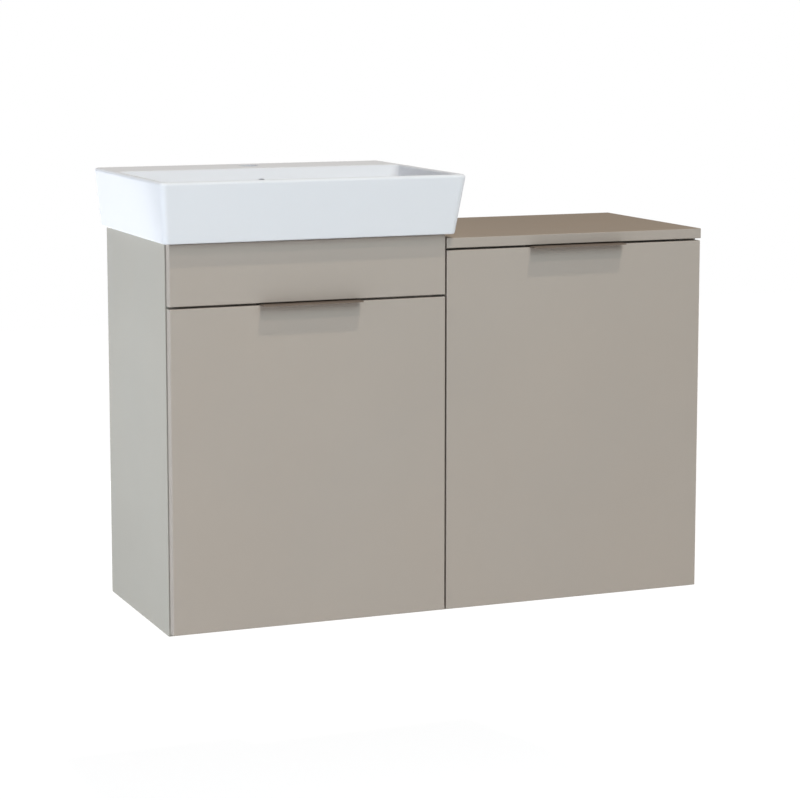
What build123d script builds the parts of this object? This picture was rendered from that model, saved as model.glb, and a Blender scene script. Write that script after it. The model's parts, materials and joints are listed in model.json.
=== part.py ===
from build123d import *
import math
import os

# A wall-hung vanity run: a basin cabinet with a deep drawer, and a side cabinet with a
# tilt-out front. All sizes are in millimetres. X runs to the right as seen from the front,
# Y runs towards the wall and Z up. The origin is on the wall, on the basin's centre line,
# at the underside of the cabinets.

# Cabinets
basin_cabinet_width = 500.0
side_cabinet_width = 500.0
basin_cabinet_height = 671.0
side_cabinet_height = 645.0
carcass_depth = 356.0
board = 16.0
back_panel = 4.0
back_recess = 20.0  # free depth behind the back panel, for the wall hangers
groove_depth = 6.0
groove_play = 0.2
edge_round = 1.0
front_rail_height = 100.0
rail_depth = 80.0  # flat rail under the worktop
side_hanging_rail_height = 84.0
basin_hanging_rail_height = 180.0  # reaches below the gap over the drawer front
lower_rail_height = 90.0

# Fronts and worktop
front_thickness = 18.0
front_gap = 4.0  # between the carcass edges and the back of a front
front_inset = 1.5  # at each side of a cabinet
front_drop = 6.0  # lower edge of a front above the underside of the cabinets
reveal = 4.0  # gap between two fronts and under the worktop
drawer_front_height = 555.0
fascia_top_gap = 2.0
worktop_thickness = 18.0
worktop_depth = 370.0
front_round = 1.5

# Basin
basin_width = 546.0
basin_depth = 417.0
basin_side_flare = 11.0  # how far each side leans out from the foot to the rim
basin_front_flare = 23.0
basin_height = 104.0
basin_corner = 10.0
rim_wall = 11.0
rim_round = 5.0
rim_inner_round = 4.5
foot_round = 3.0
ledge_depth = 120.0
ledge_thickness = 18.0
bowl_depth = 88.0
bowl_side_lean = 24.0  # how far each bowl wall leans in from the rim to the floor
bowl_front_lean = 19.75
bowl_back_lean = 31.75
bowl_corner = 14.0
bowl_floor_corner = 36.0
bowl_floor_round = 20.0
bowl_fall = 4.0
bowl_fall_margin = 15.0  # keeps the fall clear of the round at the foot of the back wall
foot_recess = 4.0
foot_recess_corner = 22.0
foot_land = 44.0
back_wall = 16.0
tap_pocket_wall = 24.0  # ceramic between the pocket under the ledge and the bowl's rim
tap_pocket_corner = 8.0
tap_hole = 35.0
tap_hole_back = 56.0
waste_hole = 46.0
waste_seat = 66.0
waste_seat_depth = 2.5
waste_boss = 82.0
waste_boss_drop = 32.0
waste_back = 240.0
overflow_hole = 22.0
overflow_drop = 30.0
overflow_bore = 44.0
overflow_duct = (26.0, 12.0)
overflow_wall = 8.0
overflow_round = 5.0
basin_bolt_hole = 14.0
basin_bolt_spacing = 280.0
basin_bolt_drop = 40.0

# Edge pulls
pull_length = 180.0
pull_lip = 20.0
pull_leg = 25.0
pull_sheet = 2.0
pull_corner = 3.0
pull_fold_round = 1.5
pull_screw_spacing = 140.0

# Drawer and runners
drawer_side_gap = 5.0
drawer_box_height = 320.0
drawer_box_depth = 284.0
drawer_bottom = 8.0
drawer_groove_depth = 8.0
drawer_skirt = 12.0  # how far the box sides reach below the drawer bottom
runner_length = 280.0
runner_sheet = 1.5
runner_width = 22.0
runner_slot = 8.0
runner_web = 3.0
runner_flange = 4.2
runner_neck = 6.0
runner_play = 0.3
runner_side_gap = 2.0  # between a drawer side and the runner beside it
runner_lift = 2.0
runner_end_gap = 1.0
runner_wing = 30.0
catch_size = (14.0, 40.0, 10.0)
catch_round = 2.0
catch_lever_radius = 5.0
catch_lever_height = 1.5
catch_lever_back = 14.0

# Tilt-out front
tilt_angle = 32.0
hinge_cup_radius = 17.5
hinge_cup_depth = 12.0
hinge_cup_edge = 3.0
hinge_cup_wall = 1.6
hinge_cup_play = 0.1
hinge_cup_lip = 1.0
hinge_inset = 95.0
hinge_pin_radius = 1.5
hinge_pin_depth = 6.0
hinge_pin_rise = 8.4
hinge_pin_play = 0.05
hinge_eye_radius = 2.9
hinge_arm_sheet = 2.5
hinge_arm_width = 8.0
hinge_arm_length = 66.0
hinge_arm_bend = 4.0
hinge_plate_size = (44.0, 46.0)
hinge_plate_height = 6.5
hinge_plate_corner = 4.0
hinge_wing = (56.0, 14.0, 1.0)
hinge_notch_drop = 2.8  # top of the arm's notch in the wings, below the cup's centre
stay_radius = 180.0
stay_width = 15.0
stay_sheet = 2.0
stay_foot = (18.0, 44.0)
stay_foot_corner = 4.0
stay_side_gap = 4.3
stay_play = 0.3
stay_peg_angle = 5.5
stay_peg_radius = 3.0
stay_peg_play = 0.25
stay_collar_radius = 6.0
stay_head_radius = 5.4
stay_head_height = 2.0
stay_head_round = 1.0
stay_end = 4.0  # degrees of strip past each end of the slot

# Laundry basket
basket_width = 400.0
basket_depth = 235.0
basket_floor_width = 360.0
basket_floor_depth = 200.0
basket_height = 392.0
basket_lift = 60.0
basket_wall = 2.5
basket_corner = 30.0
basket_floor_round = 5.0
basket_rim = 10.0
basket_rim_round = 1.5
basket_standoff = 12.5
basket_rail_length = 280.0
basket_rail_sheet = 1.5
basket_buffer_radius = 8.0
basket_buffer_rise = 40.0
basket_buffer_spacing = 224.0
vent_length = 60.0
vent_width = 9.0
vent_pitch = 34.0
vent_first_rise = 118.0
vent_rise = 78.0
vent_rows = 3
vent_side_columns = 3
vent_back_columns = 7
vent_back_reach = 78.0

# Fasteners and small fittings
screw_shank = 2.0
screw_head = 4.0
screw_head_height = 2.5
screw_head_crown = 0.6  # share of a head's height that is rounded
screw_bite = 12.0
pull_screw_head_height = 1.4
fascia_screw_inset = 70.0
fascia_screw_edge = 22.0
drawer_screw_inset = 57.0
drawer_screw_edge = 58.0
worktop_screw_inset = 90.0
connector_radius = 4.0
connector_play = 0.1
connector_head = 7.0
connector_head_height = 1.5
connector_back = 60.0
connector_rise = 120.0
bumper_radius = 4.0
bumper_drop = 24.0
bumper_play = 0.3
bumper_round = 1.0
cap_radius = 8.0
cap_thickness = 1.5
cap_round = 0.9
access_radius = 5.0

# Wall hangers
hanger_drop = 20.0
hanger_width = 34.0
hanger_height = 34.0
hook_sheet = 2.5
hook_inset = 6.0
hook_width = 24.0
hook_tongue = 8.0
hook_play = 0.5
hanger_housing = 9.0
hanger_round = 2.0
plate_inset = 4.0
plate_width = 56.0
plate_height = 46.0
plate_lip = 14.0
plate_lip_gap = 2.5
wall_screw_radius = 3.5
wall_screw_drop = 32.0

# Planes that the pieces share
carcass_front = -carcass_depth
front_back = carcass_front - front_gap
front_face = front_back - front_thickness
rail_back = -(back_recess + back_panel)
basin_left = -basin_cabinet_width / 2
basin_right = basin_cabinet_width / 2
side_left = basin_right
side_right = side_left + side_cabinet_width
side_middle = (side_left + side_right) / 2
basin_inside = (basin_left + board, basin_right - board)
side_inside = (side_left + board, side_right - board)
drawer_front_top = front_drop + drawer_front_height
fascia_bottom = drawer_front_top + reveal
tilt_front_top = side_cabinet_height - reveal
basin_foot_width = basin_width - 2 * basin_side_flare
basin_foot_depth = basin_depth - basin_front_flare


def block(x, y, z):
    corner = Pos(x[0], y[0], z[0])
    return corner * Box(x[1] - x[0], y[1] - y[0], z[1] - z[0], align=(Align.MIN,) * 3)


def along_x(profile, x):
    """Extrudes a profile drawn in (Y, Z) between two values of X."""
    return extrude(Plane.YZ.offset(x[0]) * profile, amount=x[1] - x[0])


def along_y(profile, y):
    """Extrudes a profile drawn in (X, Z) between two values of Y."""
    return extrude(Plane.XZ.offset(-y[1]) * profile, amount=y[1] - y[0])


def rod_x(radius, x, y, z):
    return along_x(Pos(y, z) * Circle(radius), x)


def rod_y(radius, x, y, z):
    return along_y(Pos(x, z) * Circle(radius), y)


def rod_z(radius, x, y, z):
    return Pos(x, y, z[0]) * extrude(Circle(radius), amount=z[1] - z[0])


def outline(*points):
    return make_face(Polyline(*points, close=True))


def mirrored(solid, x):
    return mirror(solid, about=Plane.YZ.offset(x))


def group(*solids):
    return Compound(children=list(solids))


def screw_along_y(x, z, seat, bite, head_height=screw_head_height):
    """A pan-head screw driven towards the front, with its head on the plane y = seat."""
    head = rod_y(screw_head, x, (seat, seat + head_height), z)
    head = fillet(head.faces().sort_by(Axis.Y)[-1].edges(), head_height * screw_head_crown)
    return head + rod_y(screw_shank, x, (seat - bite, seat), z)


def rounded_panel(x, y, z):
    """A board with its front edges rounded as the edging is."""
    panel = block(x, y, z)
    return fillet(panel.faces().sort_by(Axis.Y)[0].edges(), edge_round)


def front_panel(x, z):
    panel = block(x, (front_face, front_back), z)
    return fillet(panel.faces().sort_by(Axis.Y)[0].edges(), front_round)


def carcass_side(x, height, joined=False):
    """A cabinet side; the two that meet are drilled for the connector screws."""
    side = rounded_panel(x, (carcass_front, 0), (0, height))
    if joined:
        for y, z in connector_places():
            side -= rod_x(connector_radius, x, y, z)
    return side


def back_groove(x, height):
    """The groove in a side that takes the edge of the back panel."""
    slot = (rail_back - groove_play, rail_back + back_panel)
    return block(x, slot, (board - groove_depth, height))


def connector_places():
    middle = -carcass_depth / 2
    return [
        (carcass_front + connector_back, connector_rise),
        (carcass_front + connector_back, side_cabinet_height - connector_rise),
        (middle, side_cabinet_height - connector_rise),
    ]


def connector_screws():
    """Sleeve screws that pull the two neighbouring sides together."""
    screws = []
    for y, z in connector_places():
        shank = rod_x(connector_radius - connector_play, (side_left - board, side_left + board), y, z)
        left = rod_x(connector_head, (side_left - board - connector_head_height, side_left - board), y, z)
        right = rod_x(connector_head, (side_left + board, side_left + board + connector_head_height), y, z)
        screws.append(left + shank + right)
    return group(*screws)


def hanging_rail(inside, height, rail_height):
    y = (rail_back - board, rail_back)
    rail = block(inside, y, (height - rail_height, height))
    for x in access_places(inside):
        rail -= rod_y(access_radius, x, y, hook_top(height) - hanger_height / 2)
    return rail


def access_places(inside):
    middle = hook_inset + hook_width / 2
    return [inside[0] + middle, inside[1] - middle]


def hook_top(height):
    return height - hanger_drop


def cover_caps(inside, height):
    """Push-in caps over the holes that give access to the wall hangers."""
    caps = []
    face = rail_back - board
    for x in access_places(inside):
        z = hook_top(height) - hanger_height / 2
        disc = rod_y(cap_radius, x, (face - cap_thickness, face), z)
        disc = fillet(disc.faces().sort_by(Axis.Y)[0].edges(), cap_round)
        caps.append(disc + rod_y(access_radius - connector_play, x, (face, face + board / 2), z))
    return group(*caps)


def wall_hanger(inside, height):
    """The left hanger: a housing on the cabinet side that carries a bent hook."""
    top = hook_top(height)
    x = inside[0]
    strip = -(hook_sheet * 2 + plate_lip_gap + hook_play)
    tongue = -(plate_lip_gap - hook_play)
    hook = outline(
        (strip, top - hanger_height),
        (strip, top - hook_sheet),
        (tongue - hook_sheet, top - hook_sheet),
        (tongue - hook_sheet, top - hook_sheet - hook_tongue),
        (tongue, top - hook_sheet - hook_tongue),
        (tongue, top),
        (strip - hook_sheet, top),
        (strip - hook_sheet, top - hanger_height),
    )
    hook = along_x(hook, (x + hook_inset, x + hook_inset + hook_width))
    y = (strip - hook_sheet - hanger_housing, strip - hook_sheet)
    housing = block((x, x + hanger_width), y, (top - hanger_height, top - hook_sheet))
    housing = fillet(housing.faces().sort_by(Axis.X)[-1].edges(), hanger_round)
    return hook + housing


def wall_plate(inside, height):
    """The left plate on the wall, with the bent lip that the hook rests on."""
    top = hook_top(height) - hook_sheet
    foot = top - plate_lip
    lip = -(plate_lip_gap + hook_sheet)
    profile = outline(
        (0, foot - plate_height),
        (0, foot),
        (lip, foot),
        (lip, top),
        (lip - hook_sheet, top),
        (lip - hook_sheet, foot - hook_sheet),
        (-hook_sheet, foot - hook_sheet),
        (-hook_sheet, foot - plate_height),
    )
    x = inside[0] + plate_inset
    plate = along_x(profile, (x, x + plate_width))
    hole = rod_y(wall_screw_radius, x + plate_width / 2, (-hook_sheet, 0), foot - wall_screw_drop)
    return plate - hole


# Basin
def basin_outer():
    foot_z = basin_cabinet_height
    foot = Pos(0, -basin_foot_depth / 2, foot_z) * RectangleRounded(
        basin_foot_width, basin_foot_depth, basin_corner
    )
    rim = Pos(0, -basin_depth / 2, foot_z + basin_height) * RectangleRounded(
        basin_width, basin_depth, basin_corner
    )
    return loft(Sketch() + [foot, rim])


def bowl_cut():
    top_z = basin_cabinet_height + basin_height
    width = basin_width - 2 * rim_wall
    depth = basin_depth - rim_wall - ledge_depth
    bowl_floor_depth = depth - bowl_back_lean - bowl_front_lean
    middle = -(ledge_depth + depth / 2)
    top = Pos(0, middle, top_z) * RectangleRounded(width, depth, bowl_corner)
    floor_middle = middle - (bowl_back_lean - bowl_front_lean) / 2
    floor = Pos(0, floor_middle, top_z - bowl_depth) * RectangleRounded(
        width - 2 * bowl_side_lean, bowl_floor_depth, bowl_floor_corner
    )
    cut = loft(Sketch() + [floor, top])
    return fillet(cut.faces().sort_by(Axis.Z)[0].edges(), bowl_floor_round)


def overflow_cut():
    """The overflow hole, the duct down behind the bowl and the channel to the waste."""
    rim = basin_cabinet_height + basin_height
    duct_back = -(ledge_depth - overflow_wall)
    duct_width, duct_deep = overflow_duct
    low = basin_cabinet_height - waste_boss_drop + overflow_wall
    hole_y = (duct_back - overflow_bore, duct_back)
    hole = rod_y(overflow_hole / 2, 0, hole_y, rim - overflow_drop)
    x = (-duct_width / 2, duct_width / 2)
    down = block(x, (duct_back - duct_deep, duct_back), (low, rim - overflow_drop))
    across = block(x, (-waste_back, duct_back), (low, low + duct_deep))
    return hole + down + across


def overflow_housing():
    """The ceramic round the channel, under the bowl's floor."""
    duct_width, duct_deep = overflow_duct
    low = basin_cabinet_height - waste_boss_drop
    half = duct_width / 2 + overflow_wall
    y = (-waste_back, -(ledge_depth - 2 * overflow_wall))
    housing = block((-half, half), y, (low, basin_cabinet_height + foot_recess))
    low_edges = housing.edges().group_by(Axis.Z)[0]
    return fillet(low_edges, overflow_round)


def basin_recess():
    """The shallow recess inside the land on which the basin stands."""
    width = basin_foot_width - 2 * foot_land
    front = -(basin_foot_depth - foot_land)
    outline_below = RectangleRounded(width, -back_wall - front, foot_recess_corner)
    middle = (front - back_wall) / 2
    return Pos(0, middle, basin_cabinet_height) * extrude(outline_below, amount=foot_recess)


def tap_pocket():
    """The pocket under the ledge, which gives room for the tap's shank and the wall bolts."""
    half = basin_foot_width / 2 - foot_land
    y = (-(ledge_depth - tap_pocket_wall), -back_wall)
    z = (basin_cabinet_height, basin_cabinet_height + basin_height - ledge_thickness)
    pocket = block((-half, half), y, z)
    return fillet(pocket.edges().filter_by(Axis.Z), tap_pocket_corner)


def basin():
    """A ceramic furniture basin: flared walls, thin rim, flat tap ledge, moulded overflow."""
    foot_z = basin_cabinet_height
    rim_z = foot_z + basin_height
    floor_z = rim_z - bowl_depth
    body = basin_outer()
    body = fillet(body.faces().sort_by(Axis.Z)[-1].edges(), rim_round)
    body = fillet(body.faces().sort_by(Axis.Z)[0].edges(), foot_round)
    body -= bowl_cut()
    inner_rim = body.faces().sort_by(Axis.Z)[-1].inner_wires()[0].edges()
    body = fillet(inner_rim, rim_inner_round)

    body = body - basin_recess() - tap_pocket()

    boss = rod_z(waste_boss / 2, 0, -waste_back, (foot_z - waste_boss_drop, foot_z + foot_recess))
    body = body + boss + overflow_housing()
    fall = Pos(0, -waste_back, floor_z) * Rot(180, 0, 0) * Cone(
        waste_back - ledge_depth - bowl_back_lean - bowl_fall_margin,
        waste_seat / 2,
        bowl_fall,
        align=(Align.CENTER, Align.CENTER, Align.MIN),
    )
    seat_z = floor_z - bowl_fall - waste_seat_depth
    seat = rod_z(waste_seat / 2, 0, -waste_back, (seat_z, floor_z))
    bore = rod_z(waste_hole / 2, 0, -waste_back, (foot_z - waste_boss_drop, floor_z))
    body = body - fall - seat - bore - overflow_cut()

    body -= rod_z(tap_hole / 2, 0, -tap_hole_back, (rim_z - ledge_thickness, rim_z))
    for x in (-basin_bolt_spacing / 2, basin_bolt_spacing / 2):
        body -= rod_y(basin_bolt_hole / 2, x, (-back_wall, 0), rim_z - basin_bolt_drop)
    return body


# Basin cabinet
def basin_front_rail():
    """The rail that carries the fascia stands proud by the gap that the drawer front has."""
    z = (basin_cabinet_height - front_rail_height, basin_cabinet_height)
    rail = block(basin_inside, (front_back, front_back + board), z)
    for x, screw_z in fascia_screw_places():
        rail -= rod_y(screw_shank, x, (front_back, front_back + board), screw_z)
    return rail


def fascia_screw_places():
    middle_z = basin_cabinet_height - front_rail_height / 2
    x = basin_cabinet_width / 2 - fascia_screw_inset
    z = front_rail_height / 2 - fascia_screw_edge
    return [(sx * x, middle_z + sz * z) for sx in (-1, 1) for sz in (-1, 1)]


def fascia():
    x = (basin_left + front_inset, basin_right - front_inset)
    panel = front_panel(x, (fascia_bottom, basin_cabinet_height - fascia_top_gap))
    for sx, sz in fascia_screw_places():
        panel -= rod_y(screw_shank, sx, (front_back - screw_bite, front_back), sz)
    return panel


def fascia_screws():
    seat = front_back + board
    return group(*[screw_along_y(x, z, seat, board + screw_bite) for x, z in fascia_screw_places()])


def bumpers(left, right, z):
    """Soft buffers on the carcass edges, just short of the closed front."""
    dots = []
    for x in (left + board / 2, right - board / 2):
        dot = rod_y(bumper_radius, x, (front_back + bumper_play, carcass_front), z)
        dots.append(fillet(dot.faces().sort_by(Axis.Y)[0].edges(), bumper_round))
    return group(*dots)


# Edge pulls
def edge_pull(middle, top):
    """A folded sheet: the leg lies on the back of the front, the lip reaches over its top."""
    back = front_back + pull_sheet
    lip = front_face - pull_lip
    profile = outline(
        (front_back, top - pull_leg),
        (front_back, top),
        (lip, top),
        (lip, top + pull_sheet),
        (back, top + pull_sheet),
        (back, top - pull_leg),
    )
    x = (middle - pull_length / 2, middle + pull_length / 2)
    pull = along_x(profile, x)
    fold = pull.edges().filter_by(Axis.X).sort_by(lambda e: e.center().Y + e.center().Z)[-1]
    pull = fillet(fold, pull_fold_round)
    tips = pull.edges().filter_by(Axis.Z).group_by(Axis.Y)[0]
    pull = fillet(tips, pull_corner)
    for sx in pull_screw_places(middle):
        pull -= rod_y(screw_shank, sx, (front_back, back), top - pull_leg / 2)
    return pull


def pull_screw_places(middle):
    return [middle - pull_screw_spacing / 2, middle + pull_screw_spacing / 2]


def pull_screws(middle, top):
    seat = front_back + pull_sheet
    z = top - pull_leg / 2
    bite = pull_sheet + screw_bite
    return group(
        *[screw_along_y(x, z, seat, bite, pull_screw_head_height) for x in pull_screw_places(middle)]
    )


def pull_pilot_holes(front, middle, top):
    for x in pull_screw_places(middle):
        front -= rod_y(screw_shank, x, (front_back - screw_bite, front_back), top - pull_leg / 2)
    return front


# Drawer
runner_base = board + runner_lift
runner_channel = 2 * runner_sheet + runner_flange + 2 * runner_play
runner_top = runner_base + 2 * runner_channel + runner_neck - 2 * runner_play
drawer_floor = runner_top
drawer_low = drawer_floor - drawer_skirt
drawer_high = drawer_low + drawer_box_height
drawer_half = basin_cabinet_width / 2 - board - drawer_side_gap
box_front_back = front_back + board
drawer_back_y = box_front_back + drawer_box_depth
runner_front = box_front_back + runner_end_gap
runner_middle_x = -(drawer_half - board - runner_side_gap - runner_width / 2)


def drawer_front():
    x = (basin_left + front_inset, basin_right - front_inset)
    front = front_panel(x, (front_drop, drawer_front_top))
    for sx, sz in drawer_screw_places():
        front -= rod_y(screw_shank, sx, (front_back - screw_bite, front_back), sz)
    return pull_pilot_holes(front, 0, drawer_front_top)


def drawer_screw_places():
    x = drawer_half - drawer_screw_inset
    middle_z = drawer_low + drawer_box_height / 2
    z = drawer_box_height / 2 - drawer_screw_edge
    return [(sx * x, middle_z + sz * z) for sx in (-1, 1) for sz in (-1, 1)]


def drawer_front_screws():
    return group(
        *[screw_along_y(x, z, box_front_back, board + screw_bite) for x, z in drawer_screw_places()]
    )


def bottom_groove():
    half = drawer_half - board + drawer_groove_depth
    y = (box_front_back - drawer_groove_depth, drawer_back_y)
    z = (drawer_floor, drawer_floor + drawer_bottom)
    return block((-half, half), y, z)


def drawer_side():
    x = (-drawer_half, -drawer_half + board)
    side = block(x, (box_front_back, drawer_back_y), (drawer_low, drawer_high))
    side = fillet(side.faces().sort_by(Axis.Z)[-1].edges().filter_by(Axis.Y), edge_round)
    return side - bottom_groove()


def drawer_inner_front():
    x = (-drawer_half, drawer_half)
    panel = block(x, (front_back, box_front_back), (drawer_low, drawer_high))
    panel -= bottom_groove()
    for sx, sz in drawer_screw_places():
        panel -= rod_y(screw_shank, sx, (front_back, box_front_back), sz)
    return panel


def drawer_back():
    half = drawer_half - board
    y = (drawer_back_y - board, drawer_back_y)
    return block((-half, half), y, (drawer_floor + drawer_bottom, drawer_high))


def channel(z, opening_up):
    """The section of a rolled runner rail, with lips that keep the flange of the middle rail."""
    outer = Rectangle(runner_width, runner_channel)
    inner = Rectangle(runner_width - 2 * runner_sheet, runner_channel - 2 * runner_sheet)
    slot_z = runner_channel / 2 if opening_up else -runner_channel / 2
    slot = Pos(0, slot_z) * Rectangle(runner_slot, runner_channel)
    return Pos(runner_middle_x, z + runner_channel / 2) * (outer - inner - slot)


def runner_span():
    return (runner_front, runner_front + runner_length)


def runner_cabinet_rail():
    """The fixed rail: a channel with a foot and a wing that is screwed to the cabinet side."""
    left = basin_inside[0]
    foot_end = runner_middle_x - runner_width / 2 + runner_sheet
    section = channel(runner_base, True)
    section += Pos((left + foot_end) / 2, runner_base + runner_sheet / 2) * Rectangle(
        foot_end - left, runner_sheet
    )
    section += Pos(left + runner_sheet / 2, runner_base + runner_wing / 2) * Rectangle(
        runner_sheet, runner_wing
    )
    return along_y(section, runner_span())


def runner_middle_rail():
    flange = Rectangle(runner_width - 2 * runner_sheet - 2 * runner_play, runner_flange)
    low = runner_base + runner_sheet + runner_play + runner_flange / 2
    rise = runner_channel + runner_neck - 2 * runner_play
    web = Pos(0, rise / 2) * Rectangle(runner_web, rise)
    section = Pos(runner_middle_x, low) * (flange + web + Pos(0, rise) * flange)
    return along_y(section, runner_span())


def runner_drawer_rail():
    return along_y(channel(runner_top - runner_channel, False), runner_span())


def drawer_catch():
    """The clip under the drawer's front corner that locks it to the runner."""
    wide, deep, high = catch_size
    right = runner_middle_x + runner_width / 2
    z = (drawer_floor - high, drawer_floor)
    body = block((right, right + wide), (box_front_back, box_front_back + deep), z)
    lever_z = (z[0] - catch_lever_height, z[0])
    lever = rod_z(catch_lever_radius, right + wide / 2, box_front_back + catch_lever_back, lever_z)
    return fillet(body.edges().filter_by(Axis.Z), catch_round) + lever


# Tilt-out front
pin_y = front_back - hinge_pin_depth
pin_z = front_drop + hinge_pin_rise
cup_z = front_drop + hinge_cup_edge + hinge_cup_radius
hinge_left_x = side_left + hinge_inset
basket_y = front_back + basket_standoff
basket_top = basket_lift + basket_height


def tilt_front():
    x = (side_left + front_inset, side_right - front_inset)
    front = front_panel(x, (front_drop, tilt_front_top))
    for cup_x in (hinge_left_x, 2 * side_middle - hinge_left_x):
        front -= rod_y(hinge_cup_radius, cup_x, (front_back - hinge_cup_depth, front_back), cup_z)
    return pull_pilot_holes(front, side_middle, tilt_front_top)


def hinge_cup():
    """A pressed cup with wings that sit on the back of the front."""
    radius = hinge_cup_radius - hinge_cup_play
    bottom = front_back - hinge_cup_depth + hinge_cup_play
    wide, high, thick = hinge_wing
    wing = along_y(
        Pos(hinge_left_x, cup_z) * SlotOverall(wide, high), (front_back, front_back + thick)
    )
    rim = rod_y(radius + hinge_cup_lip, hinge_left_x, (front_back, front_back + thick), cup_z)
    cup = wing + rim + rod_y(radius, hinge_left_x, (bottom, front_back), cup_z)
    inner = radius - hinge_cup_wall
    cup -= rod_y(inner, hinge_left_x, (bottom + hinge_cup_wall, front_back + thick), cup_z)
    half = hinge_cup_radius
    notch_x = (hinge_left_x - hinge_arm_width, hinge_left_x + hinge_arm_width)
    cup -= block(notch_x, (front_back, front_back + thick), (front_drop, cup_z - hinge_notch_drop))
    return cup - rod_x(hinge_pin_radius, (hinge_left_x - half, hinge_left_x + half), pin_y, pin_z)


def hinge_pin():
    drop = cup_z - pin_z + hinge_pin_radius
    half = math.sqrt((hinge_cup_radius - hinge_cup_play) ** 2 - drop**2) - hinge_cup_play
    return rod_x(hinge_pin_radius, (hinge_left_x - half, hinge_left_x + half), pin_y, pin_z)


def hinge_arm():
    """A cranked arm: an eye round the pin, a rise out of the cup and a run to its plate."""
    level = board + hinge_plate_height + hinge_arm_sheet / 2
    rise = level - pin_z
    path = FilletPolyline(
        (pin_y, pin_z),
        (pin_y + rise, level),
        (pin_y + hinge_arm_length, level),
        radius=hinge_arm_bend,
    )
    strip = trace(path, line_width=hinge_arm_sheet)
    eye = Pos(pin_y, pin_z) * Circle(hinge_eye_radius)
    hole = Pos(pin_y, pin_z) * Circle(hinge_pin_radius + hinge_pin_play)
    x = (hinge_left_x - hinge_arm_width / 2, hinge_left_x + hinge_arm_width / 2)
    return along_x(strip + eye - hole, x)


def hinge_plate():
    """The mounting plate on the cabinet's bottom, under the arm."""
    wide, deep = hinge_plate_size
    back = pin_y + hinge_arm_length
    plate = block(
        (hinge_left_x - wide / 2, hinge_left_x + wide / 2),
        (back - deep, back - deep / 2),
        (board, board + hinge_plate_height / 2),
    )
    spine = block(
        (hinge_left_x - hinge_arm_width / 2, hinge_left_x + hinge_arm_width / 2),
        (back - deep, back),
        (board, board + hinge_plate_height),
    )
    return fillet(plate.edges().filter_by(Axis.Z), hinge_plate_corner) + spine


def stay_point(angle, radius=stay_radius):
    """A point on the arc round the hinge pin; the angle is from upright towards the wall."""
    turn = math.radians(angle)
    return (pin_y + radius * math.sin(turn), pin_z + radius * math.cos(turn))


def arc_band(start, end, width):
    """A band along the arc, with round ends."""
    arc = ThreePointArc(stay_point(start), stay_point((start + end) / 2), stay_point(end))
    inner, outer = stay_radius - width / 2, stay_radius + width / 2
    ring = make_face(
        Curve()
        + [
            ThreePointArc(
                stay_point(start, outer), stay_point((start + end) / 2, outer), stay_point(end, outer)
            ),
            Line(stay_point(end, outer), stay_point(end, inner)),
            ThreePointArc(
                stay_point(end, inner), stay_point((start + end) / 2, inner), stay_point(start, inner)
            ),
            Line(stay_point(start, inner), stay_point(start, outer)),
        ]
    )
    ends = [Pos(*(arc @ t)) * Circle(width / 2) for t in (0, 1)]
    return ring + ends[0] + ends[1]


def stay():
    """A quadrant strip on the left of the front, bent out to a foot, with a slot for the peg."""
    x = side_inside[0] + stay_side_gap
    slot = arc_band(stay_peg_angle, stay_peg_angle + tilt_angle, 2 * (stay_peg_radius + stay_peg_play))
    band = arc_band(0, stay_peg_angle + tilt_angle + stay_end, stay_width)
    wide, high = stay_foot
    foot_z = pin_z + stay_radius
    y = (front_back, front_back + stay_sheet)
    foot = block((x, x + wide), y, (foot_z - high / 2, foot_z + high / 2))
    foot = fillet(foot.edges().filter_by(Axis.Y).group_by(Axis.X)[-1], stay_foot_corner)
    strip = along_x(band - slot, (x, x + stay_sheet))
    strip -= block((x, x + stay_sheet), (front_face, front_back), (foot_z - high, foot_z + high))
    return foot + strip


def stay_peg():
    """A stepped peg in the left side: collar, shaft through the slot, retaining head."""
    x = side_inside[0]
    y, z = stay_point(stay_peg_angle)
    collar = rod_x(stay_collar_radius, (x, x + stay_side_gap - stay_play), y, z)
    head_x = x + stay_side_gap + stay_sheet + stay_play
    shaft = rod_x(stay_peg_radius, (x, head_x), y, z)
    head = rod_x(stay_head_radius, (head_x, head_x + stay_head_height), y, z)
    return collar + shaft + fillet(head.faces().sort_by(Axis.X)[-1].edges(), stay_head_round)


def basket_rail():
    """A hooked rail on the back of the front that the basket's rim drops into."""
    sheet = basket_rail_sheet
    rim_low = basket_top - basket_wall
    low = basket_top - basket_rim - 2 * basket_rail_sheet
    hook = basket_y - basket_rim / 2 + sheet / 2
    profile = outline(
        (front_back, low - sheet),
        (hook, low - sheet),
        (hook, rim_low),
        (hook - sheet, rim_low),
        (hook - sheet, low),
        (front_back + sheet, low),
        (front_back + sheet, basket_top + basket_rim),
        (front_back, basket_top + basket_rim),
    )
    half = basket_rail_length / 2
    return along_x(profile, (side_middle - half, side_middle + half))


def basket_buffers():
    z = basket_lift + basket_buffer_rise
    x = basket_buffer_spacing / 2
    return group(
        *[rod_y(basket_buffer_radius, side_middle + s * x, (front_back, basket_y), z) for s in (-1, 1)]
    )


def basket_shape(shrink, low, high):
    """The tub as a loft; its front wall stays upright and the others lean in."""

    def outline_at(width, depth, z):
        middle = basket_y + depth / 2
        return Pos(side_middle, middle, z) * RectangleRounded(
            width - 2 * shrink, depth - 2 * shrink, basket_corner - shrink
        )

    floor = outline_at(basket_floor_width, basket_floor_depth, low)
    top = outline_at(basket_width, basket_depth, high)
    return loft(Sketch() + [floor, top])


def vent_columns(middle, count):
    first = middle - vent_pitch * (count - 1) / 2
    return [first + vent_pitch * column for column in range(count)]


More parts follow.
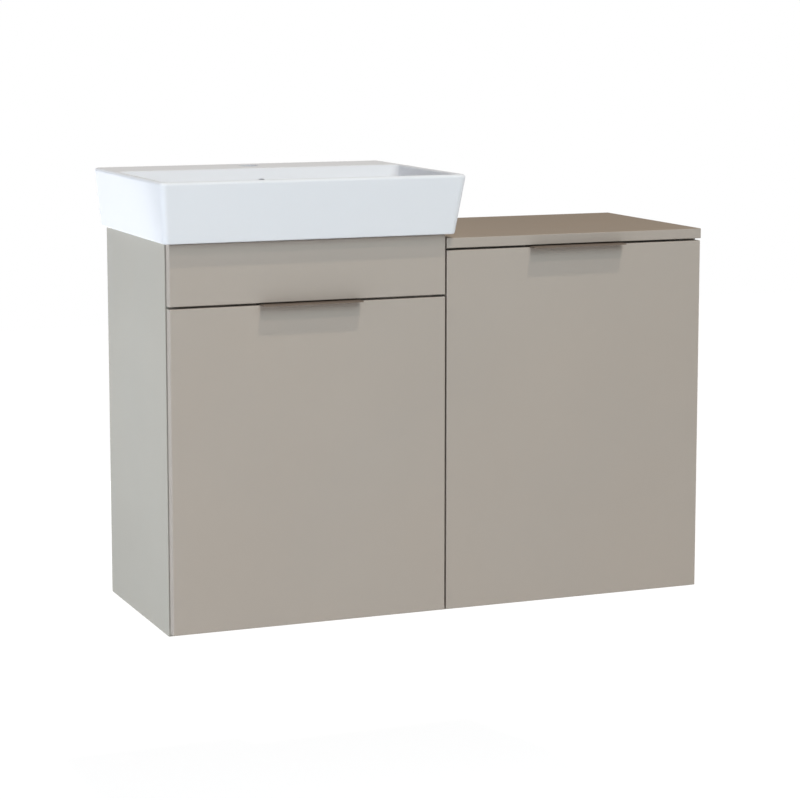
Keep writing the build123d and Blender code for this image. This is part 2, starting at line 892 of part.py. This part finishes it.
def basket_vents():
    """Rows of upright slots through the tub's sides and its back."""
    slot = Rot(0, 0, 90) * SlotOverall(vent_length, vent_width)
    across = (side_middle - basket_width, side_middle + basket_width)
    back = basket_y + basket_depth
    cuts = []
    for row in range(vent_rows):
        z = basket_lift + vent_first_rise + vent_rise * row
        for y in vent_columns(basket_y + basket_floor_depth / 2, vent_side_columns):
            cuts.append(along_x(Pos(y, z) * slot, across))
        for x in vent_columns(side_middle, vent_back_columns):
            cuts.append(along_y(Pos(x, z) * slot, (back - vent_back_reach, back)))
    return cuts


def laundry_basket():
    tub = basket_shape(0, basket_lift, basket_top)
    tub = fillet(tub.faces().sort_by(Axis.Z)[0].edges(), basket_floor_round)
    hollow = basket_shape(basket_wall, basket_lift + basket_wall, basket_top)
    rim_z = (basket_top - basket_rim, basket_top)
    rim_middle = Pos(side_middle, basket_y + basket_depth / 2, rim_z[0])
    outer = RectangleRounded(
        basket_width + 2 * basket_rim, basket_depth + 2 * basket_rim, basket_corner + basket_rim
    )
    under = RectangleRounded(
        basket_width + 2 * (basket_rim - basket_wall),
        basket_depth + 2 * (basket_rim - basket_wall),
        basket_corner + basket_rim - basket_wall,
    )
    rim = rim_middle * extrude(outer, amount=basket_rim)
    rim = fillet(rim.faces().sort_by(Axis.Z)[-1].edges(), basket_rim_round)
    rim -= rim_middle * extrude(under, amount=basket_rim - basket_wall)
    tub = tub + rim - hollow
    for cut in basket_vents():
        tub -= cut
    return tub


# Side cabinet
def side_front_rail():
    y = (carcass_front, carcass_front + rail_depth)
    rail = rounded_panel(side_inside, y, (side_cabinet_height - board, side_cabinet_height))
    for x, sy in worktop_screw_places():
        rail -= rod_z(screw_shank, x, sy, (side_cabinet_height - board, side_cabinet_height))
    return rail


def worktop_screw_places():
    y = carcass_front + rail_depth / 2
    x = side_cabinet_width / 2 - worktop_screw_inset
    return [(side_middle + s * x, y) for s in (-1, 1)]


def worktop():
    x = (side_left + front_inset, side_right)
    z = (side_cabinet_height, side_cabinet_height + worktop_thickness)
    top = block(x, (front_face, front_face + worktop_depth), z)
    upper = top.faces().sort_by(Axis.Z)[-1].edges()
    front = top.faces().sort_by(Axis.Y)[0].edges()
    edges = ShapeList(list(upper) + [e for e in front if e not in upper])
    top = fillet(edges, front_round)
    for sx, sy in worktop_screw_places():
        top -= rod_z(screw_shank, sx, sy, (z[0], z[0] + screw_bite))
    return top


def worktop_screws():
    screws = []
    seat = side_cabinet_height - board
    for x, y in worktop_screw_places():
        head = rod_z(screw_head, x, y, (seat - screw_head_height, seat))
        screws.append(head + rod_z(screw_shank, x, y, (seat, side_cabinet_height + screw_bite)))
    return group(*screws)


def side_back_panel():
    x = (side_inside[0] - groove_depth + groove_play, side_inside[1] + groove_depth - groove_play)
    z = (board - groove_depth + groove_play, side_cabinet_height)
    return block(x, (rail_back, rail_back + back_panel), z)


def side_bottom():
    panel = rounded_panel(side_inside, (carcass_front, 0), (0, board))
    slot = (rail_back - groove_play, rail_back + back_panel)
    return panel - block(side_inside, slot, (board - groove_depth, board))


def pair(name, solid, x):
    return {name + "_left": solid, name + "_right": mirrored(solid, x)}


def basin_cabinet():
    inner_left, inner_right = basin_inside
    low_rail = (rail_back - board, rail_back)
    hanger = wall_hanger(basin_inside, basin_cabinet_height)
    plate = wall_plate(basin_inside, basin_cabinet_height)
    left = (basin_left, inner_left)
    right = (inner_right, basin_right)
    return {
        "basin": basin(),
        "basin_cabinet_side_left": carcass_side(left, basin_cabinet_height),
        "basin_cabinet_side_right": carcass_side(right, basin_cabinet_height, joined=True),
        "basin_cabinet_bottom": rounded_panel(basin_inside, (carcass_front, 0), (0, board)),
        "basin_cabinet_front_rail": basin_front_rail(),
        "basin_cabinet_hanging_rail": hanging_rail(
            basin_inside, basin_cabinet_height, basin_hanging_rail_height
        ),
        "basin_cabinet_lower_rail": block(basin_inside, low_rail, (board, board + lower_rail_height)),
        "basin_hanger_left": hanger,
        "basin_hanger_right": mirrored(hanger, 0),
        "basin_wall_plates": group(plate, mirrored(plate, 0)),
        "basin_cabinet_cover_caps": cover_caps(basin_inside, basin_cabinet_height),
        "fascia": fascia(),
        "fascia_screws": fascia_screws(),
        "drawer_bumpers": bumpers(basin_left, basin_right, drawer_front_top - bumper_drop),
        **pair("runner_cabinet_rail", runner_cabinet_rail(), 0),
    }


def drawer():
    side = drawer_side()
    catch = drawer_catch()
    return {
        "drawer_front": drawer_front(),
        "drawer_pull": edge_pull(0, drawer_front_top),
        "drawer_pull_screws": pull_screws(0, drawer_front_top),
        "drawer_front_screws": drawer_front_screws(),
        "drawer_inner_front": drawer_inner_front(),
        **pair("drawer_side", side, 0),
        "drawer_back": drawer_back(),
        "drawer_bottom": bottom_groove(),
        "drawer_catches": group(catch, mirrored(catch, 0)),
        **pair("runner_drawer_rail", runner_drawer_rail(), 0),
        **pair("runner_middle_rail", runner_middle_rail(), 0),
    }


def side_cabinet():
    inner_left, inner_right = side_inside
    hanger = wall_hanger(side_inside, side_cabinet_height)
    plate = wall_plate(side_inside, side_cabinet_height)
    peg = stay_peg()
    mount = hinge_plate()
    left = carcass_side((side_left, inner_left), side_cabinet_height, joined=True)
    left -= back_groove((inner_left - groove_depth, inner_left), side_cabinet_height)
    right = carcass_side((inner_right, side_right), side_cabinet_height)
    right -= back_groove((inner_right, inner_right + groove_depth), side_cabinet_height)
    return {
        "side_cabinet_side_left": left,
        "side_cabinet_side_right": right,
        "side_cabinet_bottom": side_bottom(),
        "side_cabinet_front_rail": side_front_rail(),
        "side_cabinet_hanging_rail": hanging_rail(
            side_inside, side_cabinet_height, side_hanging_rail_height
        ),
        "side_cabinet_back": side_back_panel(),
        "side_hanger_left": hanger,
        "side_hanger_right": mirrored(hanger, side_middle),
        "side_wall_plates": group(plate, mirrored(plate, side_middle)),
        "side_cabinet_cover_caps": cover_caps(side_inside, side_cabinet_height),
        "worktop": worktop(),
        "worktop_screws": worktop_screws(),
        "tilt_bumpers": bumpers(side_left, side_right, tilt_front_top - bumper_drop),
        **pair("hinge_arm", hinge_arm(), side_middle),
        "hinge_plates": group(mount, mirrored(mount, side_middle)),
        "stay_pegs": group(peg, mirrored(peg, side_middle)),
        "connector_screws": connector_screws(),
    }


def tilt_out():
    pin = hinge_pin()
    return {
        "tilt_front": tilt_front(),
        "tilt_pull": edge_pull(side_middle, tilt_front_top),
        "tilt_pull_screws": pull_screws(side_middle, tilt_front_top),
        **pair("hinge_cup", hinge_cup(), side_middle),
        "hinge_pins": group(pin, mirrored(pin, side_middle)),
        **pair("stay", stay(), side_middle),
        "basket_rail": basket_rail(),
        "basket_buffers": basket_buffers(),
        "laundry_basket": laundry_basket(),
    }


nodes = {**basin_cabinet(), **drawer(), **side_cabinet(), **tilt_out()}
os.makedirs("parts", exist_ok=True)
for name, shape in nodes.items():
    export_step(shape, f"parts/{name}.step")
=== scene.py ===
import bpy
import json
import math
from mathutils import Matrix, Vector


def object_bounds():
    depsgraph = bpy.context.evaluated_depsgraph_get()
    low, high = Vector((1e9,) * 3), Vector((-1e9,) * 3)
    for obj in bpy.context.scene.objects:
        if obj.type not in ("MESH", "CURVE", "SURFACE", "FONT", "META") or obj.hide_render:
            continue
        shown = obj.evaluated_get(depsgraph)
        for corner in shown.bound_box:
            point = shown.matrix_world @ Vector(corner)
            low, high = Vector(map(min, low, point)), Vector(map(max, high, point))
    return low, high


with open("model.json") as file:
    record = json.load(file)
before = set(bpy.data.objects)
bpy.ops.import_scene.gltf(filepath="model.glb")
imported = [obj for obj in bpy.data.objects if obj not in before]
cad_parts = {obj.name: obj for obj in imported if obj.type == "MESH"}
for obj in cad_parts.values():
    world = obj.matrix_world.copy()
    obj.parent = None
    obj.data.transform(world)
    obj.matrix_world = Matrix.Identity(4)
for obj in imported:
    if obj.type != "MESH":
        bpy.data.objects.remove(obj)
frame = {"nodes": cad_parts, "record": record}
cad_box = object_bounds()

# Camera: place, aim and lens that give the photographed view, in metres and degrees
camera_place = (-1.4257, -4.2865, 1.0632)
camera_turn = 22.129  # to the right of straight ahead
camera_dip = 7.648
camera_lens = 111.15
camera_shift = -0.08  # share of the picture's width

# Light: at these strengths a surface shows about its own colour
key_direction = (0.10, -0.39, 1.02)  # towards the lamp
key_strength = 0.98
key_spread = 2.0
key_tint = (1.0, 0.88, 0.71)
second_direction = (-0.02, -0.62, 0.80)
second_strength = 0.55
second_spread = 3.0
second_tint = (1.0, 0.86, 0.82)
ambient = 0.14
front_place = (0.35, -2.8, 2.0)
front_size = (2.2, 1.4)
front_power = 36.0
front_tint = (0.81, 0.96, 1.0)
left_place = (-2.6, -0.8, 0.5)
left_size = (2.0, 1.6)
left_power = 41.5
left_tint = (0.83, 0.92, 1.0)
right_place = (3.2, 0.2, 0.1)
right_size = (1.6, 1.2)
right_power = 26.0
rear_place = (-0.2, 3.2, 0.1)
rear_size = (2.0, 1.2)
rear_power = 30.0
floor_level = -0.45
floor_reach = 14.0
floor_grey = (0.8, 0.8, 0.8, 1.0)  # as light that it sends back
floor_shade = (0.16, 0.16, 0.16, 1.0)  # as seen: lets the soft shadow show
floor_glow = 0.93

# Colours as linear values
glaze_white = (0.79, 0.804, 0.85)
front_grey = (0.418, 0.373, 0.336)
board_grey = (0.446, 0.426, 0.384)
# Worktop's top face: its own brown, darkened further as painted shade so that the top reads
# darker than its edge
worktop_brown_painted_shade = (0.37, 0.31, 0.258)
bronze = (0.165, 0.128, 0.102)
zinc = (0.60, 0.61, 0.62)
powder_grey = (0.36, 0.35, 0.33)
fitting_grey = (0.42, 0.41, 0.39)
basket_grey = (0.60, 0.59, 0.57)
silicone = (0.62, 0.62, 0.60)

# Drawn metal: its darkest and brightest line as shares of its tone, and its change of gloss
line_dark = 0.82
line_bright = 1.12
line_gloss_drift = 0.12

# A face counts as facing up, and takes the worktop's painted shade, as the upward share of its
# normal goes from one to the other
upward_from = 0.55
upward_to = 0.85


# Shared effects
def new_group(name, inputs, outputs):
    """An empty effect with the inputs as (name, kind, value) and the outputs as (name, kind)."""
    tree = bpy.data.node_groups.new(name, "ShaderNodeTree")
    for title, kind, value in inputs:
        socket = tree.interface.new_socket(title, in_out="INPUT", socket_type=kind)
        socket.default_value = value
    for title, kind in outputs:
        tree.interface.new_socket(title, in_out="OUTPUT", socket_type=kind)
    return tree, tree.nodes.new("NodeGroupInput"), tree.nodes.new("NodeGroupOutput")


def add_node(tree, kind, values=None, **settings):
    node = tree.nodes.new(kind)
    for key, value in settings.items():
        setattr(node, key, value)
    for key, value in (values or {}).items():
        node.inputs[key].default_value = value
    return node


def object_places(tree, factors=(1.0, 1.0, 1.0)):
    """Places on the piece itself, scaled along its axes."""
    places = add_node(tree, "ShaderNodeTexCoord")
    mapping = add_node(tree, "ShaderNodeMapping", {"Scale": factors})
    tree.links.new(places.outputs["Object"], mapping.inputs["Vector"])
    return mapping.outputs["Vector"]


def noise(tree, where, scale, detail=4.0, roughness=0.5):
    values = {"Scale": scale, "Detail": detail, "Roughness": roughness}
    node = add_node(tree, "ShaderNodeTexNoise", values)
    tree.links.new(where, node.inputs["Vector"])
    return node


def tone_drift_effect():
    """Broad, faint drift in lightness and warmth, as pressed and sprayed boards have."""
    tree, enter, leave = new_group(
        "tone_drift",
        [
            ("Tone", "NodeSocketColor", (0.5, 0.5, 0.5, 1.0)),
            ("Lightness", "NodeSocketFloat", 0.04),
            ("Warmth", "NodeSocketFloat", 0.03),
            ("Scale", "NodeSocketFloat", 3.0),
        ],
        [("Color", "NodeSocketColor")],
    )
    where = object_places(tree)
    broad = noise(tree, where, 3.0, 3.0)
    tree.links.new(enter.outputs["Scale"], broad.inputs["Scale"])
    lift = add_node(tree, "ShaderNodeMath", {1: 0.5}, operation="SUBTRACT")
    tree.links.new(broad.outputs["Fac"], lift.inputs[0])
    amount = add_node(tree, "ShaderNodeMath", operation="MULTIPLY")
    tree.links.new(lift.outputs[0], amount.inputs[0])
    tree.links.new(enter.outputs["Lightness"], amount.inputs[1])
    value = add_node(tree, "ShaderNodeMath", {1: 1.0}, operation="ADD")
    tree.links.new(amount.outputs[0], value.inputs[0])
    shade = add_node(tree, "ShaderNodeHueSaturation")
    tree.links.new(enter.outputs["Tone"], shade.inputs["Color"])
    tree.links.new(value.outputs[0], shade.inputs["Value"])
    chroma = add_node(tree, "ShaderNodeSeparateColor")
    tree.links.new(broad.outputs["Color"], chroma.inputs["Color"])
    away = add_node(tree, "ShaderNodeMath", {1: 0.5}, operation="SUBTRACT")
    tree.links.new(chroma.outputs["Green"], away.inputs[0])
    warm = add_node(tree, "ShaderNodeMath", operation="MULTIPLY")
    tree.links.new(away.outputs[0], warm.inputs[0])
    tree.links.new(enter.outputs["Warmth"], warm.inputs[1])
    red = add_node(tree, "ShaderNodeMath", {1: 1.0}, operation="ADD")
    tree.links.new(warm.outputs[0], red.inputs[0])
    blue = add_node(tree, "ShaderNodeMath", {0: 1.0}, operation="SUBTRACT")
    tree.links.new(warm.outputs[0], blue.inputs[1])
    tint = add_node(tree, "ShaderNodeCombineColor", {"Green": 1.0})
    tree.links.new(red.outputs[0], tint.inputs["Red"])
    tree.links.new(blue.outputs[0], tint.inputs["Blue"])
    mix = add_node(tree, "ShaderNodeMix", {0: 1.0}, data_type="RGBA", blend_type="MULTIPLY")
    tree.links.new(shade.outputs["Color"], mix.inputs["A"])
    tree.links.new(tint.outputs["Color"], mix.inputs["B"])
    tree.links.new(mix.outputs["Result"], leave.inputs["Color"])
    return tree


def fine_relief_effect():
    """Fine relief of a sprayed, moulded or glazed skin, with the gloss that varies over it."""
    tree, enter, leave = new_group(
        "fine_relief",
        [
            ("Scale", "NodeSocketFloat", 400.0),
            ("Depth", "NodeSocketFloat", 0.00002),
            ("Gloss", "NodeSocketFloat", 0.5),
            ("Gloss drift", "NodeSocketFloat", 0.08),
        ],
        [("Normal", "NodeSocketVector"), ("Roughness", "NodeSocketFloat")],
    )
    where = object_places(tree)
    grain = noise(tree, where, 400.0, 2.0)
    tree.links.new(enter.outputs["Scale"], grain.inputs["Scale"])
    bump = add_node(tree, "ShaderNodeBump", {"Strength": 1.0})
    tree.links.new(grain.outputs["Fac"], bump.inputs["Height"])
    tree.links.new(enter.outputs["Depth"], bump.inputs["Distance"])
    tree.links.new(bump.outputs["Normal"], leave.inputs["Normal"])
    patches = noise(tree, where, 9.0, 4.0)
    centre = add_node(tree, "ShaderNodeMath", {1: 0.5}, operation="SUBTRACT")
    tree.links.new(patches.outputs["Fac"], centre.inputs[0])
    drift = add_node(tree, "ShaderNodeMath", operation="MULTIPLY_ADD")
    tree.links.new(centre.outputs[0], drift.inputs[0])
    tree.links.new(enter.outputs["Gloss drift"], drift.inputs[1])
    tree.links.new(enter.outputs["Gloss"], drift.inputs[2])
    tree.links.new(drift.outputs[0], leave.inputs["Roughness"])
    return tree


def drawn_lines_effect(name, factors):
    """Fine lines of drawn or brushed metal, along the axis with the smallest factor."""
    tree, enter, leave = new_group(
        name,
        [
            ("Scale", "NodeSocketFloat", 900.0),
            ("Depth", "NodeSocketFloat", 0.00001),
            ("Gloss", "NodeSocketFloat", 0.35),
        ],
        [
            ("Normal", "NodeSocketVector"),
            ("Roughness", "NodeSocketFloat"),
            ("Lines", "NodeSocketFloat"),
        ],
    )
    where = object_places(tree, factors)
    lines = noise(tree, where, 900.0, 3.0, 0.6)
    tree.links.new(enter.outputs["Scale"], lines.inputs["Scale"])
    bump = add_node(tree, "ShaderNodeBump", {"Strength": 1.0})
    tree.links.new(lines.outputs["Fac"], bump.inputs["Height"])
    tree.links.new(enter.outputs["Depth"], bump.inputs["Distance"])
    tree.links.new(bump.outputs["Normal"], leave.inputs["Normal"])
    drift = add_node(tree, "ShaderNodeMath", {1: line_gloss_drift}, operation="MULTIPLY_ADD")
    tree.links.new(lines.outputs["Fac"], drift.inputs[0])
    tree.links.new(enter.outputs["Gloss"], drift.inputs[2])
    tree.links.new(drift.outputs[0], leave.inputs["Roughness"])
    tree.links.new(lines.outputs["Fac"], leave.inputs["Lines"])
    return tree


def painted_shade_top_mask_effect():
    """A mask of the surfaces that face up, which carries the worktop's painted shade."""
    tree, _, leave = new_group("painted_shade_top_mask", [], [("Mask", "NodeSocketFloat")])
    facing = add_node(tree, "ShaderNodeNewGeometry")
    parts = add_node(tree, "ShaderNodeSeparateXYZ")
    tree.links.new(facing.outputs["Normal"], parts.inputs["Vector"])
    limits = {"From Min": upward_from, "From Max": upward_to}
    step = add_node(tree, "ShaderNodeMapRange", limits, clamp=True)
    tree.links.new(parts.outputs["Z"], step.inputs["Value"])
    tree.links.new(step.outputs["Result"], leave.inputs["Mask"])
    return tree


tone_drift = tone_drift_effect()
fine_relief = fine_relief_effect()
lines_across = drawn_lines_effect("lines_across", (0.02, 1.0, 1.0))
lines_deep = drawn_lines_effect("lines_deep", (1.0, 0.02, 1.0))
painted_shade_top_mask = painted_shade_top_mask_effect()


# Finishes
def new_finish(name, shader_values):
    material = bpy.data.materials.new(name)
    material.use_nodes = True
    tree = material.node_tree
    shader = tree.nodes["Principled BSDF"]
    for key, value in shader_values.items():
        shader.inputs[key].default_value = value
    return material, tree, shader


def place_effect(tree, effect, values):
    node = add_node(tree, "ShaderNodeGroup", node_tree=effect)
    for key, value in values.items():
        node.inputs[key].default_value = value
    return node


def drifting_tone(tree, shader, tone, lightness, warmth, scale):
    values = {"Tone": (*tone, 1.0), "Lightness": lightness, "Warmth": warmth, "Scale": scale}
    effect = place_effect(tree, tone_drift, values)
    tree.links.new(effect.outputs["Color"], shader.inputs["Base Color"])
    return effect


def skin(tree, shader, scale, depth, gloss, gloss_drift):
    values = {"Scale": scale, "Depth": depth, "Gloss": gloss, "Gloss drift": gloss_drift}
    effect = place_effect(tree, fine_relief, values)
    tree.links.new(effect.outputs["Normal"], shader.inputs["Normal"])
    tree.links.new(effect.outputs["Roughness"], shader.inputs["Roughness"])


def glazed_ceramic():
    """White sanitary glaze: a smooth glassy coat with the slight waves that firing leaves."""
    values = {"Specular IOR Level": 0.0, "Coat Weight": 0.2, "Coat Roughness": 0.06}
    material, tree, shader = new_finish("glazed_ceramic", values)
    drifting_tone(tree, shader, glaze_white, lightness=0.02, warmth=0.006, scale=5.0)
    skin(tree, shader, scale=26.0, depth=0.00012, gloss=0.16, gloss_drift=0.05)
    return material


def matt_lacquer(name, tone, gloss=0.55):
    """Sprayed matt lacquer with faint orange peel."""
    material, tree, shader = new_finish(name, {"Specular IOR Level": 0.2})
    drifting_tone(tree, shader, tone, lightness=0.06, warmth=0.03, scale=4.0)
    skin(tree, shader, scale=700.0, depth=0.00001, gloss=gloss, gloss_drift=0.08)
    return material


def worktop_laminate():
    """Laminate with a browner face, darkened as painted shade where it faces up, and an edge band
    in the tone of the fronts.
    """
    material, tree, shader = new_finish(
        "worktop_laminate",
        {"Specular IOR Level": 0.0, "Coat Weight": 0.1, "Coat Roughness": 0.5},
    )
    edge = drifting_tone(tree, shader, front_grey, lightness=0.06, warmth=0.03, scale=4.0)
    # The top face: its own brown darkened as painted shade, laid where the mask finds faces that
    # look up
    face_values = {"Tone": (*worktop_brown_painted_shade, 1.0), "Lightness": 0.05, "Warmth": 0.04, "Scale": 5.0}
    face = place_effect(tree, tone_drift, face_values)
    up = place_effect(tree, painted_shade_top_mask, {})
    mix = add_node(tree, "ShaderNodeMix", data_type="RGBA")
    tree.links.new(up.outputs["Mask"], mix.inputs["Factor"])
    tree.links.new(edge.outputs["Color"], mix.inputs["A"])
    tree.links.new(face.outputs["Color"], mix.inputs["B"])
    tree.links.new(mix.outputs["Result"], shader.inputs["Base Color"])
    skin(tree, shader, scale=500.0, depth=0.00002, gloss=0.68, gloss_drift=0.08)
    return material


def drawn_metal(name, tone, lines, gloss, scale=900.0, metallic=1.0):
    """Brushed or drawn metal, with its tone broken up along the lines."""
    material, tree, shader = new_finish(name, {"Metallic": metallic, "Specular IOR Level": 0.2})
    effect = place_effect(tree, lines, {"Gloss": gloss, "Scale": scale})
    tree.links.new(effect.outputs["Normal"], shader.inputs["Normal"])
    tree.links.new(effect.outputs["Roughness"], shader.inputs["Roughness"])
    mix = add_node(tree, "ShaderNodeMix", data_type="RGBA")
    mix.inputs["A"].default_value = (*[line_dark * part for part in tone], 1.0)
    mix.inputs["B"].default_value = (*[min(1.0, line_bright * part) for part in tone], 1.0)
    tree.links.new(effect.outputs["Lines"], mix.inputs["Factor"])
    tree.links.new(mix.outputs["Result"], shader.inputs["Base Color"])
    return material


def moulded_plastic(name, tone, gloss):
    """Moulded plastic with a fine spark-eroded grain."""
    material, tree, shader = new_finish(name, {"Specular IOR Level": 0.4})
    drifting_tone(tree, shader, tone, lightness=0.05, warmth=0.01, scale=9.0)
    skin(tree, shader, scale=1400.0, depth=0.00003, gloss=gloss, gloss_drift=0.06)
    return material


finishes = {
    "ceramic": glazed_ceramic(),
    "lacquered_front": matt_lacquer("matt_lacquer", front_grey),
    "worktop": worktop_laminate(),
    "carcass_board": matt_lacquer("carcass_melamine", board_grey, 0.6),
    "drawer_board": matt_lacquer("drawer_melamine", board_grey, 0.6),
    "back_board": matt_lacquer("back_board_paint", board_grey, 0.7),
    "bronze_pull": drawn_metal("bronze_anodised", bronze, lines_across, 0.42, metallic=0.5),
    "zinc_steel": drawn_metal("zinc_plated", zinc, lines_deep, 0.25, 600.0),
    "coated_steel": moulded_plastic("powder_coat", powder_grey, 0.45),
    "fitting_plastic": moulded_plastic("fitting_plastic", fitting_grey, 0.45),
    "basket_plastic": moulded_plastic("basket_plastic", basket_grey, 0.5),
    "soft_buffer": moulded_plastic("silicone_buffer", silicone, 0.3),
}


def dress_nodes():
    """Gives each CAD node the finish of its slot in the record."""
    slots = {part["node"]: part["material_slot"] for part in frame["record"]["subparts"]}
    for name, node in frame["nodes"].items():
        finish = finishes[slots[name]]
        if node.data.materials:
            for index in range(len(node.data.materials)):
                node.data.materials[index] = finish
        else:
            node.data.materials.append(finish)


# Studio
def aim(thing, place, target):
    thing.location = place
    away = Vector(target) - Vector(place)
    thing.rotation_euler = away.to_track_quat("-Z", "Y").to_euler()


def softbox(name, place, size, power, tint=(1.0, 1.0, 1.0)):
    lamp = bpy.data.lights.new(name, "AREA")
    lamp.shape = "RECTANGLE"
    lamp.size, lamp.size_y = size
    lamp.energy = power
    lamp.color = tint
    box = bpy.data.objects.new(name, lamp)
    bpy.context.scene.collection.objects.link(box)
    middle = (Vector(cad_box[0]) + Vector(cad_box[1])) / 2
    aim(box, place, middle)
    return box


def sun(name, direction, strength, spread, tint):
    """A distant lamp. Its small spread keeps the shadows under pulls and basin crisp."""
    lamp = bpy.data.lights.new(name, "SUN")
    lamp.energy = strength
    lamp.angle = math.radians(spread)
    lamp.color = tint
    thing = bpy.data.objects.new(name, lamp)
    bpy.context.scene.collection.objects.link(thing)
    aim(thing, direction, (0.0, 0.0, 0.0))


def studio_lamps():
    """Two distant lamps from above, and soft lamps in front, at both sides and behind."""
    sun("key", key_direction, key_strength, key_spread, key_tint)
    sun("second_key", second_direction, second_strength, second_spread, second_tint)
    softbox("front_box", front_place, front_size, front_power, front_tint)
    softbox("left_box", left_place, left_size, left_power, left_tint)
    softbox("right_box", right_place, right_size, right_power)
    softbox("rear_box", rear_place, rear_size, rear_power)


def looked_at_mask(tree):
    """One where the camera, a reflection or a clear piece looks, nought for other light."""
    rays = add_node(tree, "ShaderNodeLightPath")
    mirrored = add_node(tree, "ShaderNodeMath", operation="MAXIMUM")
    tree.links.new(rays.outputs["Is Camera Ray"], mirrored.inputs[0])
    tree.links.new(rays.outputs["Is Glossy Ray"], mirrored.inputs[1])
    through = add_node(tree, "ShaderNodeMath", operation="MAXIMUM")
    tree.links.new(mirrored.outputs[0], through.inputs[0])
    tree.links.new(rays.outputs["Is Transmission Ray"], through.inputs[1])
    return through.outputs[0]


def white_surround():
    """Plain white where it is looked at, and softer as light."""
    world = bpy.data.worlds.new("surround")
    bpy.context.scene.world = world
    world.use_nodes = True
    tree = world.node_tree
    background = tree.nodes["Background"]
    background.inputs["Color"].default_value = (1.0, 1.0, 1.0, 1.0)
    strength = add_node(tree, "ShaderNodeMapRange", {"To Min": ambient, "To Max": 1.0})
    tree.links.new(looked_at_mask(tree), strength.inputs["Value"])
    tree.links.new(strength.outputs["Result"], background.inputs["Strength"])


def pale_floor():
    """A pale floor below the hanging unit, near white to the camera, with a soft shadow."""
    bpy.ops.object.select_all(action="DESELECT")
    bpy.ops.mesh.primitive_plane_add(size=floor_reach, location=(0.0, 0.0, floor_level))
    floor = bpy.context.object
    floor.name = "floor"
    material = bpy.data.materials.new("pale_floor")
    material.use_nodes = True
    tree = material.node_tree
    tree.nodes.clear()
    surface = add_node(tree, "ShaderNodeOutputMaterial")
    sent_back = add_node(tree, "ShaderNodeBsdfDiffuse", {"Color": floor_grey})
    shade = add_node(tree, "ShaderNodeBsdfDiffuse", {"Color": floor_shade})
    glow_values = {"Color": (1.0, 1.0, 1.0, 1.0), "Strength": floor_glow}
    glow = add_node(tree, "ShaderNodeEmission", glow_values)
    looked_at = add_node(tree, "ShaderNodeAddShader")
    tree.links.new(shade.outputs[0], looked_at.inputs[0])
    tree.links.new(glow.outputs[0], looked_at.inputs[1])
    choice = add_node(tree, "ShaderNodeMixShader")
    tree.links.new(looked_at_mask(tree), choice.inputs[0])
    tree.links.new(sent_back.outputs[0], choice.inputs[1])
    tree.links.new(looked_at.outputs[0], choice.inputs[2])
    tree.links.new(choice.outputs[0], surface.inputs["Surface"])
    floor.data.materials.append(material)


def photo_camera():
    """The camera of the photographed view, level from side to side."""
    data = bpy.data.cameras.new("camera")
    data.lens = camera_lens
    data.shift_y = camera_shift
    data.clip_end = 100.0
    camera = bpy.data.objects.new("camera", data)
    bpy.context.scene.collection.objects.link(camera)
    camera.location = camera_place
    level = math.radians(90.0 - camera_dip)
    camera.rotation_euler = (level, 0.0, -math.radians(camera_turn))
    bpy.context.scene.camera = camera


dress_nodes()
studio_lamps()
white_surround()
pale_floor()
photo_camera()
bpy.context.scene.view_settings.view_transform = "Standard"
